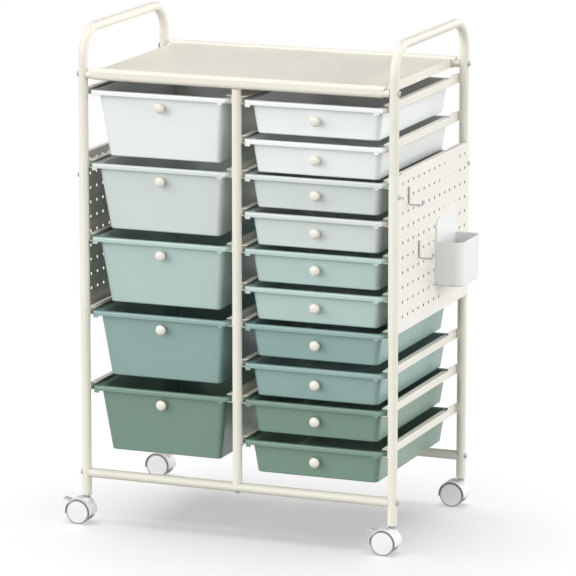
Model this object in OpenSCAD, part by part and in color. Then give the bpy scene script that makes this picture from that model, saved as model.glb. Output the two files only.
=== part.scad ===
// Rolling drawer cart: two bent-tube end frames, a sheet-steel top shelf,
// five large and ten small drawers on C-shaped runners, a perforated panel
// on each end, a clip-on cup, two hooks and four swivel casters.
// Millimetres. +Z is up, the drawers open towards -Y, the floor is z = 0.

/* [Frame] */
// Distance between the left and right leg centres
frame_w = 620; // [616:1:624]
// Distance between the front and rear leg centres
frame_d = 384; // [380:1:388]
// Height of the handle tops above the floor
frame_h = 960; // [945:1:990]
// Outside diameter of the steel tubes
tube_d = 18; // [17.6:0.1:18.2]
// Wall thickness of the steel tubes
tube_wall = 0.8; // [0.7:0.1:1.5]
// Bend radius of the handles, at the centre of the tube
bend_r = 55; // [45:1:58]
// Height of the leg bottoms above the floor
leg_z = 58; // [57.5:0.1:59]
// Height of the bottom tubes' centre lines
bottom_z = 100; // [99:1:106]

/* [Top shelf] */
// Height of the tops of the rolled front and rear edges
shelf_top = 880; // [878:1:884]
// Depth of the sheet below the rolled edges
tray_drop = 4.5; // [3:0.5:6]
// Height of the rolled front and rear edges
lip_h = 22.5; // [20:0.5:23]
// Depth of the rolled front and rear edges
lip_d = 16; // [14:0.5:17]
// Thickness of the sheet
sheet_t = 0.7; // [0.6:0.1:1.2]

/* [Drawers] */
// Width of a drawer over its rim
drawer_w = 285; // [283:0.5:286]
// Depth of a drawer over its rim
drawer_d = 386; // [380:1:386]
// Height of a large drawer
large_h = 126.5; // [110:0.5:127]
// Height of a small drawer
small_h = 63; // [55:0.5:63]
// Draft of the drawer walls in degrees
draft = 7.7; // [5:0.1:8]
// Wall thickness of the drawers
drawer_wall = 1.5; // [1.4:0.1:2.4]
// Diameter of a drawer knob
knob_d = 20; // [18:0.5:22]

/* [Runners] */
// Height of a runner
runner_h = 15; // [14.5:0.1:16]
// Width of a runner's lips
runner_lip = 12; // [10:0.5:12]
// Thickness of a runner's sheet
runner_t = 0.8; // [0.7:0.1:1.2]

/* [End panels] */
// Height of the panels' lower edge
panel_z = 420; // [415:1:425]
// Height of a panel
panel_h = 297.5; // [296:0.5:300]
// Hole spacing along the depth
hole_dy = 28.5; // [27:0.5:29]
// Hole spacing along the height
hole_dz = 27.7; // [27:0.1:28]
// Hole diameter
hole_d = 6; // [5.8:0.1:6.5]

/* [Cup] */
// Width of the cup along the panel
cup_w = 112; // [100:1:116]
// How far the cup stands out
cup_d = 53; // [48:1:56]
// Height of the cup's body
cup_h = 85; // [80:1:88]

/* [Casters] */
// Radius of a caster wheel
wheel_r = 23.5; // [23.3:0.1:23.7]
// Horizontal distance from the swivel to the axle
trail = 14; // [13:0.5:15]

/* [Hidden] */

$fn = 64;
hw = frame_w / 2;
hd = frame_d / 2;
tr = tube_d / 2;
ti = tr - tube_wall;
handle_z = frame_h - tr;          // centre line of the handles
bend_z = handle_z - bend_r;       // where the bends start
lip_z = shelf_top - lip_h;
sheet_z = shelf_top - tray_drop;  // top face of the shelf's sheet
tray_x = hw - 25;                 // outer faces of the shelf's side flanges
stub_r = lip_d / 2 - 0.25;        // round ends of the rolled edges
screw_z = lip_z + stub_r + 1.75;  // screws into the round ends
lever_tip = 48;                   // reach of a brake lever from the swivel
panel_t = 0.7;
panel_out = hw + tr + 1.1;        // outer face of an end panel
panel_in = panel_out - panel_t;
cup_x = panel_out + 0.2;
// the whole cart is shifted so that the middle of its box is at the origin
ox = (hw + lever_tip - (cup_x + cup_d)) / 2;
// heights of the drawer rims, from the top level down
rim_z = [838, 765, 699, 628, 558.5, 487, 416.5, 341, 271, 193.5];
rim_above = 8.2;                  // from a runner's bottom up to a drawer's rim
drawer_front = -hd - 4;           // front of a closed drawer
slope = tan(draft);
cream = "#EEEBE0";
steel = "#A9ABAC";
white = "#F1F1F0";
tints = ["#ECF1F1", "#D1D9D8", "#B2C7C3", "#8EA9A4", "#7A9787"];

module placed() translate([ox, 0, 0]) children();

// ---------- tubes ----------
module bent_bar(d, extra) {
  for (s = [-1, 1]) translate([0, s * hd, leg_z - extra]) cylinder(d = d, h = bend_z - leg_z + extra);
  for (s = [0, 1]) mirror([0, s, 0]) translate([0, hd - bend_r, bend_z])
    rotate([90, 0, 90]) rotate_extrude(angle = 90) translate([bend_r, 0]) circle(d = d);
  translate([0, -(hd - bend_r), handle_z]) rotate([-90, 0, 0]) cylinder(d = d, h = frame_d - 2 * bend_r);
}
// an inverted-U tube in the plane x = 0, drilled for screws that enter from +x
module end_frame() {
  difference() {
    bent_bar(tube_d, 0);
    bent_bar(tube_d - 2 * tube_wall, 1);
    for (s = [-1, 1]) {
      for (z = [bottom_z, screw_z]) translate([-20, s * hd, z]) rotate([0, 90, 0]) cylinder(r = 3.2, h = 40);
      translate([0, s * hd, panel_screw_z]) rotate([0, 90, 0]) cylinder(r = 2.7, h = 20);
    }
  }
}
panel_screw_z = panel_z + panel_h - 42;
module left_end_frame() placed() color(cream) translate([-hw, 0, 0]) mirror([1, 0, 0]) end_frame();
module right_end_frame() placed() color(cream) translate([hw, 0, 0]) end_frame();

module bottom_tube(y) difference() {
  translate([-hw, y, bottom_z]) rotate([0, 90, 0]) cylinder(d = tube_d, h = frame_w);
  translate([-hw + 32, y, bottom_z]) rotate([0, 90, 0]) cylinder(r = ti, h = frame_w - 64);
  for (s = [-1, 1]) {
    translate([s * hw, y, bottom_z - 30]) cylinder(r = tr + 0.06, h = 60);
    translate([s * (hw - 20) - 20, y, bottom_z]) rotate([0, 90, 0]) cylinder(r = 3.08, h = 40);
  }
  translate([0, y, bottom_z - 20]) cylinder(r = 2.7, h = 40);
}
module front_bottom_tube() placed() color(cream) bottom_tube(-hd);
module rear_bottom_tube() placed() color(cream) bottom_tube(hd);

module middle_post(y) difference() {
  translate([0, y, bottom_z]) cylinder(d = tube_d, h = lip_z - 0.05 - bottom_z);
  translate([0, y, bottom_z + 32]) cylinder(r = ti, h = lip_z);
  translate([-30, y, bottom_z]) rotate([0, 90, 0]) cylinder(r = tr + 0.06, h = 60);
  translate([0, y, bottom_z]) cylinder(r = 2.58, h = 34);
}
module front_middle_post() placed() color(cream) middle_post(-hd);
module rear_middle_post() placed() color(cream) middle_post(hd);

// ---------- top shelf ----------
module rounded_2d(w, h, r) {
  translate([-w / 2 + r, -h / 2]) square([w - 2 * r, h]);
  translate([-w / 2, -h / 2 + r]) square([w, h - 2 * r]);
  for (x = [-1, 1], y = [-1, 1]) translate([x * (w / 2 - r), y * (h / 2 - r)]) circle(r = r);
}
// a rolled edge of the shelf: a hollow round-backed bar, plugged near its ends, with a round stub to each leg
module lip() {
  r = lip_d / 2 - 0.5;
  difference() {
    rotate([90, 0, 90]) linear_extrude(height = 2 * tray_x + 10, center = true) rounded_2d(lip_d, lip_h, r);
    rotate([90, 0, 90]) linear_extrude(height = 2 * tray_x - 26, center = true)
      rounded_2d(lip_d - 2 * sheet_t, lip_h - 2 * sheet_t, r - sheet_t);
  }
  for (s = [0, 1]) mirror([s, 0, 0]) translate([tray_x - 5, 0, screw_z - lip_z - lip_h / 2]) rotate([0, 90, 0]) cylinder(r = stub_r, h = hw - tray_x + 5);
}
module top_shelf() placed() color(cream) difference() {
  union() {
    for (s = [0, 1]) mirror([0, s, 0]) translate([0, -hd, lip_z + lip_h / 2]) {
      lip();
      // spigot that holds the middle post
      translate([0, 0, -lip_h / 2 - 14]) cylinder(r = ti - 0.1, h = 14.5);
    }
    // sheet and folded side flanges
    translate([-tray_x, -hd + lip_d / 2 - 1, sheet_z - sheet_t]) cube([2 * tray_x, frame_d - lip_d + 2, sheet_t]);
    for (s = [0, 1]) mirror([s, 0, 0]) translate([tray_x - sheet_t, -hd + lip_d / 2 - 1, lip_z + 1]) cube([sheet_t, frame_d - lip_d + 2, lip_h - tray_drop - 1]);
  }
  for (x = [-1, 1], y = [-1, 1]) {
    translate([x * hw, y * hd, lip_z - 20]) cylinder(r = tr + 0.06, h = 60);
    translate([x * (hw - 20) - 20, y * hd, screw_z]) rotate([0, 90, 0]) cylinder(r = 3.08, h = 40);
  }
}

// ---------- runners ----------
function bump(t) = 6.2 * pow(sin(90 * min(1, t / 0.25)), 2) - 2.6 * pow(max(0, t - 0.25) / 0.75, 2);
// one C-shaped runner: its web's outer face is x = 0 and its lips point to +x
module runner(z) {
  y0 = drawer_front + 2.5;
  y1 = hd - 58;
  translate([0, y1, z]) rotate([90, 0, 0]) linear_extrude(height = y1 - y0)
    polygon([[0, 0], [runner_lip, 0], [runner_lip, runner_t], [runner_t, runner_t], [runner_t, runner_h - runner_t],
             [runner_lip, runner_h - runner_t], [runner_lip, runner_h], [0, runner_h]]);
  translate([0, 0, z]) rotate([90, 0, 90]) linear_extrude(height = runner_t)
    polygon(concat([[y1 - 1, 0], [hd, 0]], [for (i = [12 : -1 : 0]) [y1 + 58 * i / 12, runner_h + bump(i / 12)]], [[y1 - 1, runner_h]]));
}
module runner_pair(cx, z) {
  e = hw / 2 - tr - 0.02;
  translate([cx - e, 0, 0]) runner(z);
  translate([cx + e, 0, 0]) mirror([1, 0, 0]) runner(z);
}
module left_runners() placed() color(cream) for (i = [0 : 2 : 8]) runner_pair(-hw / 2, rim_z[i] - rim_above);
module right_runners() placed() color(cream) for (i = [0 : 9]) runner_pair(hw / 2, rim_z[i] - rim_above);

// ---------- end panels ----------
hole_top = panel_z + panel_h - 19.7;
function hole_y(i) = (i - 6) * hole_dy;
function hole_z(j) = hole_top - j * hole_dz;
// right-hand panel: a perforated sheet with folded edges, curled round both legs
module panel() difference() {
  union() {
    translate([panel_in, -hd, panel_z]) cube([panel_t, frame_d, panel_h]);
    for (s = [0, 1]) mirror([0, s, 0]) translate([hw, hd, panel_z])
      rotate_extrude(angle = 150) translate([panel_in - hw, 0]) square([panel_t, panel_h]);
    for (z = [panel_z, panel_z + panel_h - panel_t]) translate([panel_out - 11, -hd + 16, z]) cube([11, frame_d - 32, panel_t]);
  }
  for (i = [0 : 12], j = [0 : 9]) translate([panel_in - 1, hole_y(i), hole_z(j)]) rotate([0, 90, 0]) cylinder(d = hole_d, h = 4, $fn = 24);
  for (s = [-1, 1]) translate([panel_in - 5, s * hd, panel_screw_z]) rotate([0, 90, 0]) cylinder(r = 2.7, h = 10);
}
module right_pegboard() placed() color(cream) panel();
module left_pegboard() placed() color(cream) mirror([1, 0, 0]) panel();

// ---------- cup and hooks ----------
cup_y = 8.5 + cup_w / 2;
cup_z = 472;
cup_r = 22;
module cup_2d(in) {
  x1 = cup_d - in;
  h = cup_w / 2 - in;
  r = cup_r - in;
  translate([in, -h]) square([x1 - in - r, 2 * h]);
  translate([in, -h + r]) square([x1 - in, 2 * h - 2 * r]);
  for (s = [-1, 1]) translate([x1 - r, s * (h - r)]) circle(r = r);
}
module storage_cup() placed() color(white) translate([cup_x, cup_y, cup_z]) {
  difference() {
    union() {
      linear_extrude(height = cup_h) cup_2d(0);
      // back plate with rounded upper corners
      rotate([90, 0, 90]) linear_extrude(height = 2) {
        translate([-cup_w / 2, 0]) square([cup_w, cup_h + 23]);
        translate([-cup_w / 2 + 22, 0]) square([cup_w - 44, cup_h + 45]);
        for (s = [-1, 1]) translate([s * (cup_w / 2 - 22), cup_h + 23]) circle(r = 22);
      }
    }
    translate([0, 0, 2]) linear_extrude(height = cup_h) cup_2d(2);
    translate([2, -cup_w / 2 + 2, cup_h]) cube([cup_d, cup_w - 4, 60]);
  }
  // two bent pegs that drop into the panel's holes
  for (i = [7, 9]) translate([0, hole_y(i) - cup_y, hole_z(4) - cup_z]) {
    translate([-3.9, 0, 0]) rotate([0, 90, 0]) cylinder(r = 2.5, h = 4.5, $fn = 32);
    translate([-3.9, 0, 0]) sphere(r = 2.5, $fn = 32);
    translate([-3.9, 0, 0]) cylinder(r = 2.5, h = 7, $fn = 32);
  }
}
// a quarter bend of a wire in the plane y = 0, from angle a about the point c
module wire_bend(c, a, br, r) translate([c[0], 0, c[1]]) rotate([90, 0, 0]) rotate([0, 0, a])
  rotate_extrude(angle = 90) translate([br, 0]) circle(r = r, $fn = 32);
// a wire hook: the back leg goes through a hole and turns up behind the panel
module peg_hook() {
  xf = panel_out + 1.8;
  xb = panel_in - 5;
  r = 1.6;
  translate([xf, 0, -12]) cylinder(r = r, h = 30, $fn = 32);
  wire_bend([xf + 4, -12], 180, 4, r);
  translate([xf + 4, 0, -16]) rotate([0, 90, 0]) cylinder(r = r, h = 18, $fn = 32);
  wire_bend([xf + 22, -12], 270, 4, r);
  translate([xf + 26, 0, -12]) cylinder(r = r, h = 7, $fn = 32);
  translate([xb + 3, 0, 0]) rotate([0, 90, 0]) cylinder(r = 1.5, h = xf - xb - 3, $fn = 32);
  wire_bend([xb + 3, 3], 180, 3, 1.5);
  translate([xb, 0, 3]) cylinder(r = 1.5, h = 7, $fn = 32);
}
module peg_hooks() placed() color(steel) {
  translate([0, hole_y(1), hole_z(1)]) peg_hook();
  translate([0, hole_y(3), hole_z(5)]) peg_hook();
}

// ---------- fasteners ----------
// a pan-head screw along +z, seated at z = 0 with its shank below
module pan_screw(r, l, hr) difference() {
  union() {
    translate([0, 0, -l]) cylinder(r = r, h = l + 0.5, $fn = 32);
    rotate_extrude($fn = 48) polygon([[0, 0], [hr, 0], [hr, hr * 0.2], [hr * 0.86, hr * 0.42], [hr * 0.5, hr * 0.56], [0, hr * 0.6]]);
  }
  for (a = [0, 90]) rotate([0, 0, a]) translate([-hr * 0.5, -hr * 0.1, hr * 0.36]) cube([hr, hr * 0.2, hr]);
}
module frame_screws() placed() color(steel) {
  for (s = [0, 1]) mirror([s, 0, 0]) for (y = [-hd, hd]) {
    for (z = [bottom_z, screw_z]) translate([hw + tr + 0.02, y, z]) rotate([0, 90, 0]) pan_screw(3, 44, 5.5);
    translate([panel_out + 0.02, y, panel_screw_z]) rotate([0, 90, 0]) pan_screw(2.5, 12, 5);
  }
  for (y = [-hd, hd]) translate([0, y, bottom_z - tr - 0.02]) rotate([180, 0, 0]) pan_screw(2.5, 40, 5);
}

// ---------- drawers ----------
// points of a rounded rectangle at height z, centred on (0, cy)
function ring(a, b, r, cy, z) = [for (k = [0 : 3]) for (i = [0 : 6])
  let (t = k * 90 + i * 15, sx = (k == 0 || k == 3) ? 1 : -1, sy = k < 2 ? 1 : -1)
  [sx * (a - r) + r * cos(t), cy + sy * (b - r) + r * sin(t), z]];
module loft(r0, r1) {
  n = len(r0);
  polyhedron(points = concat(r0, r1),
    faces = concat([[for (i = [0 : n - 1]) i]], [[for (i = [n - 1 : -1 : 0]) n + i]],
      [for (i = [0 : n - 1]) [i, n + i, n + (i + 1) % n, (i + 1) % n]]));
}
// half width and half depth of the tub's outside just under the rim
tub_a = drawer_w / 2 - 13.5;
tub_b = drawer_d / 2 - 8;
tub_y = drawer_front + drawer_d / 2;
tub_r = 12.5;
function tub_ring(in, z) = ring(tub_a - in + z * slope, tub_b - in + z * slope, tub_r - in + z * slope * 0.25, tub_y, z);
module rim_2d(in) translate([0, tub_y]) rounded_2d(drawer_w - 2 * in, drawer_d - 2 * in, 12 - in);
// a drawer with its rim's top at z = 0, centred on x = 0; knob_z is the knob's height
module drawer(h, knob_z) difference() {
  union() {
    loft(tub_ring(0, -h), tub_ring(0, -1));
    translate([0, 0, -2.2]) linear_extrude(height = 2.2) rim_2d(0);
    difference() {
      translate([0, 0, -6.7]) linear_extrude(height = 5.5) rim_2d(0);
      translate([0, 0, -7]) linear_extrude(height = 7) rim_2d(2);
    }
    translate([-drawer_w / 2 + 9, drawer_front, -9.5]) cube([drawer_w - 18, 2, 8]);
  }
  loft(tub_ring(drawer_wall, -h + drawer_wall), tub_ring(drawer_wall, 0.2));
  at_knob(knob_z) translate([0, 0, -10]) cylinder(r = 2.3, h = 20, $fn = 32);
}
// places a child, +z outwards, on the sloping front face at a height below the rim
module at_knob(z) translate([0, drawer_front + 8 - z * slope, z]) rotate([90 + draft, 0, 0]) children();
module knob(z) at_knob(z) {
  k = knob_d / 2;
  difference() {
    translate([0, 0, 0.05]) rotate_extrude() polygon(concat(
      [[0, 0], [5.4, 0], [5.4, 1.2], [4.4, 2.4], [4.4, 5], [7.5, 6.6], [k - 0.5, 7.6]],
      [for (i = [0 : 9]) [k * cos(i * 10), 8.6 + 6 * sin(i * 10)]], [[0, 14.6]]));
    translate([0, 0, -1]) cylinder(r = 2.06, h = 11, $fn = 32);
  }
  // screw from inside the drawer
  translate([0, 0, -drawer_wall - 0.1]) rotate([180, 0, 0]) pan_screw(2, 10.5, 4);
}
large_knob_z = -26;
small_knob_z = -31;
module large(i) placed() translate([-hw / 2, 0, rim_z[2 * i]]) color(tints[i]) drawer(large_h, large_knob_z);
module small(i) placed() translate([hw / 2, 0, rim_z[i]]) color(tints[floor(i / 2)]) drawer(small_h, small_knob_z);
module large_knob(i) placed() translate([-hw / 2, 0, rim_z[2 * i]]) color(cream) knob(large_knob_z);
module small_knob(i) placed() translate([hw / 2, 0, rim_z[i]]) color(cream) knob(small_knob_z);
module large_drawer_1() large(0);
module large_drawer_2() large(1);
module large_drawer_3() large(2);
module large_drawer_4() large(3);
module large_drawer_5() large(4);
module small_drawer_1() small(0);
module small_drawer_2() small(1);
module small_drawer_3() small(2);
module small_drawer_4() small(3);
module small_drawer_5() small(4);
module small_drawer_6() small(5);
module small_drawer_7() small(6);
module small_drawer_8() small(7);
module small_drawer_9() small(8);
module small_drawer_10() small(9);
module large_knob_1() large_knob(0);
module large_knob_2() large_knob(1);
module large_knob_3() large_knob(2);
module large_knob_4() large_knob(3);
module large_knob_5() large_knob(4);
module small_knob_1() small_knob(0);
module small_knob_2() small_knob(1);
module small_knob_3() small_knob(2);
module small_knob_4() small_knob(3);
module small_knob_5() small_knob(4);
module small_knob_6() small_knob(5);
module small_knob_7() small_knob(6);
module small_knob_8() small_knob(7);
module small_knob_9() small_knob(8);
module small_knob_10() small_knob(9);

// ---------- casters ----------
axle_x = -trail;
axle_z = wheel_r;
hood_r = wheel_r + 3;
hood_in = wheel_r + 1.8;
hood_y = 17.5;                    // half width over the wheels
web_y = 6;                        // half thickness of the hood's middle web
hood_low = 5;                     // how far the hood reaches below the axle
pivot = [axle_x - 13, axle_z + 12.5];
module drum(r, y0, y1) translate([axle_x, 0, axle_z]) rotate([-90, 0, 0]) translate([0, 0, y0]) cylinder(r = r, h = y1 - y0);
// half-round cover over two wheels, with a middle web, a swivel boss and, on braked casters, a lever slot
module hood(brake) {
  difference() {
    union() {
      difference() {
        union() {
          drum(hood_r, -hood_y, hood_y);
          translate([0, 0, axle_z]) cylinder(r = 8, h = 50 - axle_z);
        }
        drum(hood_in, web_y, hood_y + 1);
        drum(hood_in, -hood_y - 1, -web_y);
        translate([-80, -40, -10]) cube([160, 80, axle_z + 10 - hood_low]);
        if (brake) {
          translate([axle_x - 50, -2.3, axle_z + 6.5]) cube([43, 4.6, 40]);
          intersection() {
            translate([axle_x - 50, -8.8, axle_z + 6.5]) cube([38, 17.6, 40]);
            difference() {
              drum(hood_r + 1, -9, 9);
              drum(hood_in - 0.2, -10, 10);
            }
          }
        }
      }
      drum(7, -web_y, web_y);
      if (brake) translate([pivot[0], 0, pivot[1]]) rotate([90, 0, 0]) cylinder(r = 2, h = 2 * web_y - 1, center = true, $fn = 32);
    }
    drum(3.05, -20, 20);
    translate([0, 0, 27]) cylinder(r = 4.06, h = 30);
  }
  // axle pin
  drum(3, -hood_y + 2.2, hood_y - 2.2);
}
module caster_wheel(s) {
  y0 = web_y + 0.5;
  w = hood_y - y0;
  translate([axle_x, 0, axle_z]) rotate([-90 * s, 0, 0]) translate([0, 0, y0]) difference() {
    rotate_extrude() polygon([[0, 0], [wheel_r - 1.5, 0], [wheel_r, 1.5], [wheel_r, w - 2], [wheel_r - 2, w], [0, w]]);
    translate([0, 0, -1]) cylinder(r = 3.05, h = w - 1, $fn = 48);
  }
}
// foot lever on a braked caster
module brake_lever() difference() {
  union() {
    translate([pivot[0], 0, pivot[1]]) rotate([90, 0, 0]) cylinder(r = 4, h = 4, center = true, $fn = 32);
    rotate([90, 0, 0]) linear_extrude(height = 4, center = true)
      polygon([[pivot[0] - 3.6, pivot[1] - 1.5], [pivot[0] + 3, pivot[1] + 2.5], [pivot[0] - 3, pivot[1] + 8.4], [pivot[0] - 9, pivot[1] + 8.6], [pivot[0] - 9, pivot[1] + 5]]);
    rotate([90, 0, 0]) linear_extrude(height = 15, center = true)
      polygon([[pivot[0] - 6, pivot[1] + 4.6], [-lever_tip + 0.4, pivot[1] + 8], [-lever_tip, pivot[1] + 9.6], [-lever_tip + 1.2, pivot[1] + 11], [pivot[0] - 6, pivot[1] + 7.8]]);
  }
  translate([pivot[0], 0, pivot[1]]) rotate([90, 0, 0]) cylinder(r = 2.06, h = 20, center = true, $fn = 32);
}
module at_leg(x, y) placed() translate([x * hw, y * hd, 0]) children();
module front_left_caster_hood() color(white) at_leg(-1, -1) hood(true);
module front_right_caster_hood() color(white) at_leg(1, -1) hood(true);
module rear_left_caster_hood() color(white) at_leg(-1, 1) hood(false);
module rear_right_caster_hood() color(white) at_leg(1, 1) hood(false);
module front_left_wheel_a() color(white) at_leg(-1, -1) caster_wheel(-1);
module front_left_wheel_b() color(white) at_leg(-1, -1) caster_wheel(1);
module front_right_wheel_a() color(white) at_leg(1, -1) caster_wheel(-1);
module front_right_wheel_b() color(white) at_leg(1, -1) caster_wheel(1);
module rear_left_wheel_a() color(white) at_leg(-1, 1) caster_wheel(-1);
module rear_left_wheel_b() color(white) at_leg(-1, 1) caster_wheel(1);
module rear_right_wheel_a() color(white) at_leg(1, 1) caster_wheel(-1);
module rear_right_wheel_b() color(white) at_leg(1, 1) caster_wheel(1);
module front_left_brake_lever() color(steel) at_leg(-1, -1) brake_lever();
module front_right_brake_lever() color(steel) at_leg(1, -1) brake_lever();
// steel stems, fixed in the sockets; the hoods turn on their lower ends
module caster_stems() color(steel) for (x = [-1, 1], y = [-1, 1]) at_leg(x, y) {
  translate([0, 0, 27.5]) cylinder(r = 4, h = leg_z + 22 - 27.5);
  translate([0, 0, 50.3]) cylinder(r = 6.5, h = 3.2);
}
// plastic sockets pressed into the leg ends
module caster_sockets() color(white) for (x = [-1, 1], y = [-1, 1]) at_leg(x, y) difference() {
  union() {
    translate([0, 0, leg_z - 1]) cylinder(r = ti - 0.05, h = 33);
    translate([0, 0, leg_z - 1.6]) cylinder(r = tr, h = 1.55);
  }
  translate([0, 0, leg_z - 5]) cylinder(r = 4.03, h = 50);
}

left_end_frame();
right_end_frame();
front_middle_post();
rear_middle_post();
front_bottom_tube();
rear_bottom_tube();
top_shelf();
left_runners();
right_runners();
left_pegboard();
right_pegboard();
storage_cup();
peg_hooks();
frame_screws();
caster_sockets();
caster_stems();
large_drawer_1();
large_drawer_2();
large_drawer_3();
large_drawer_4();
large_drawer_5();
small_drawer_1();
small_drawer_2();
small_drawer_3();
small_drawer_4();
small_drawer_5();
small_drawer_6();
small_drawer_7();
small_drawer_8();
small_drawer_9();
small_drawer_10();
large_knob_1();
large_knob_2();
large_knob_3();
large_knob_4();
large_knob_5();
small_knob_1();
small_knob_2();
small_knob_3();
small_knob_4();
small_knob_5();
small_knob_6();
small_knob_7();
small_knob_8();
small_knob_9();
small_knob_10();
front_left_caster_hood();
front_left_wheel_a();
front_left_wheel_b();
front_right_caster_hood();
front_right_wheel_a();
front_right_wheel_b();
rear_left_caster_hood();
rear_left_wheel_a();
rear_left_wheel_b();
rear_right_caster_hood();
rear_right_wheel_a();
rear_right_wheel_b();
front_left_brake_lever();
front_right_brake_lever();
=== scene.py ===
import bpy
import bmesh
import math
from mathutils import Matrix, Vector


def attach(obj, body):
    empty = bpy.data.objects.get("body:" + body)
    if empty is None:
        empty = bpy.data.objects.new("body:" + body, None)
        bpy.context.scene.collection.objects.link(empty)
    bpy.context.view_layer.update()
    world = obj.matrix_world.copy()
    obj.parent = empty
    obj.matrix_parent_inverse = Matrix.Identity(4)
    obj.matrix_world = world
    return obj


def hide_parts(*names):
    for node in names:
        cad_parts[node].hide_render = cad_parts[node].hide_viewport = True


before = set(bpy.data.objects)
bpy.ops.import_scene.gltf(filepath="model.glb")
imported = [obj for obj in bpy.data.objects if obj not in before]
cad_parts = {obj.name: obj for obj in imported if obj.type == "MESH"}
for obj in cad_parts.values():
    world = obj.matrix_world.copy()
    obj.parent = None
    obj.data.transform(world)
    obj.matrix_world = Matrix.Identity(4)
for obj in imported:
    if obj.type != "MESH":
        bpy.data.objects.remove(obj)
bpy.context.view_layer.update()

# ---------------------------------------------------------------- sizes, mm
OX = -7.65            # shift of the whole cart along X
HW, HD = 310.0, 192.0  # half the leg spacing
TR = 9.0              # tube radius
LEG_Z, BOTTOM_Z = 58.0, 100.0
HANDLE_Z, BEND_R = 951.0, 55.0
BEND_Z = HANDLE_Z - BEND_R
SHELF, LIP_H, LIP_D = 880.0, 22.5, 16.0
LIP_Z = SHELF - LIP_H
RIM_Z = [838, 765, 699, 628, 558.5, 487, 416.5, 341, 271, 193.5]
SLOPE = math.tan(math.radians(7.7))
FRONT = -196.0        # front of a closed drawer
WORLD_LOW, WORLD_HIGH = 0.24, 0.12   # light from below and from above


# ---------------------------------------------------------------- mesh tools
class Shell:
    """Closed shells gathered into one mesh."""

    def __init__(self):
        self.v, self.f, self.m = [], [], []

    def add(self, made, mat=0, move=None):
        verts, faces = made
        n = len(self.v)
        self.v += [(move @ Vector(p)) if move else Vector(p) for p in verts]
        self.f += [[n + i for i in q] for q in faces]
        self.m += [mat] * len(faces)
        return self

    def merge(self, other, move=None, mat=None):
        n = len(self.v)
        self.v += [(move @ p) if move else p.copy() for p in other.v]
        self.f += [[n + i for i in q] for q in other.f]
        self.m += [mat if mat is not None else k for k in other.m]
        return self


def make(name, shell, mats, body, nodes, sharp=38, thick=None, weighted=True):
    """One finished piece: mesh in metres, smooth with sharp creases, riding on its body."""
    me = bpy.data.meshes.new(name)
    me.from_pydata([((p[0] + OX) * 0.001, p[1] * 0.001, p[2] * 0.001) for p in shell.v], [], shell.f)
    for m in mats:
        me.materials.append(m)
    for p, k in zip(me.polygons, shell.m):
        p.material_index = k
    bm = bmesh.new()
    bm.from_mesh(me)
    if thick is None:
        bmesh.ops.recalc_face_normals(bm, faces=bm.faces)
    bm.to_mesh(me)
    bm.free()
    ob = bpy.data.objects.new(name, me)
    bpy.context.scene.collection.objects.link(ob)
    if thick is not None:
        s = ob.modifiers.new("thickness", "SOLIDIFY")
        s.thickness = thick * 0.001
        s.offset = 0.0
        s.use_even_offset = True
        s.use_rim = True
        dg = bpy.context.evaluated_depsgraph_get()
        done = bpy.data.meshes.new_from_object(ob.evaluated_get(dg))
        ob.modifiers.clear()
        ob.data = done
        bpy.data.meshes.remove(me)
        me = done
        bm = bmesh.new()
        bm.from_mesh(me)
        bmesh.ops.recalc_face_normals(bm, faces=bm.faces)
        bm.to_mesh(me)
        bm.free()
    me.shade_smooth()
    me.set_sharp_from_angle(angle=math.radians(sharp))
    if weighted:
        w = ob.modifiers.new("weighted", "WEIGHTED_NORMAL")
        w.weight = 60
        w.keep_sharp = True
    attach(ob, body)
    if nodes:
        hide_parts(*nodes)
    return ob


def loft(rings, cap0=True, cap1=True, closed=False):
    n, k = len(rings[0]), len(rings)
    verts = [p for r in rings for p in r]
    faces = []
    for i in range(k if closed else k - 1):
        a, b = i * n, ((i + 1) % k) * n
        for j in range(n):
            j2 = (j + 1) % n
            faces.append([a + j, a + j2, b + j2, b + j])
    if not closed:
        if cap0:
            faces.append(list(range(n))[::-1])
        if cap1:
            faces.append([(k - 1) * n + j for j in range(n)])
    return verts, faces


def fan_cap(verts, faces, ring, centre, flip=False):
    c = len(verts)
    verts.append(centre)
    n = len(ring)
    for j in range(n):
        t = [ring[j], ring[(j + 1) % n], c]
        faces.append(t[::-1] if flip else t)


def lathe(profile, seg=48):
    """Profile of (radius, height); an end at radius 0 closes in a pole, any other end in a flat cap."""
    verts, faces, rows = [], [], []
    for r, z in profile:
        if r < 1e-6:
            rows.append([len(verts)])
            verts.append((0, 0, z))
        else:
            rows.append(list(range(len(verts), len(verts) + seg)))
            verts += [(r * math.cos(2 * math.pi * j / seg), r * math.sin(2 * math.pi * j / seg), z) for j in range(seg)]
    for a, b in zip(rows, rows[1:]):
        if len(a) == 1 and len(b) == 1:
            continue
        for j in range(seg):
            k = (j + 1) % seg
            if len(a) == 1:
                faces.append([a[0], b[k], b[j]])
            elif len(b) == 1:
                faces.append([a[j], a[k], b[0]])
            else:
                faces.append([a[j], a[k], b[k], b[j]])
    if len(rows[0]) > 1:
        faces.append(rows[0][::-1])
    if len(rows[-1]) > 1:
        faces.append(list(rows[-1]))
    return verts, faces


def lathe_loop(profile, seg=48):
    """A closed profile that stays clear of the axis."""
    rings = [[(r * math.cos(2 * math.pi * j / seg), r * math.sin(2 * math.pi * j / seg), z) for j in range(seg)] for r, z in profile]
    return loft(rings, closed=True)


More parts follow.
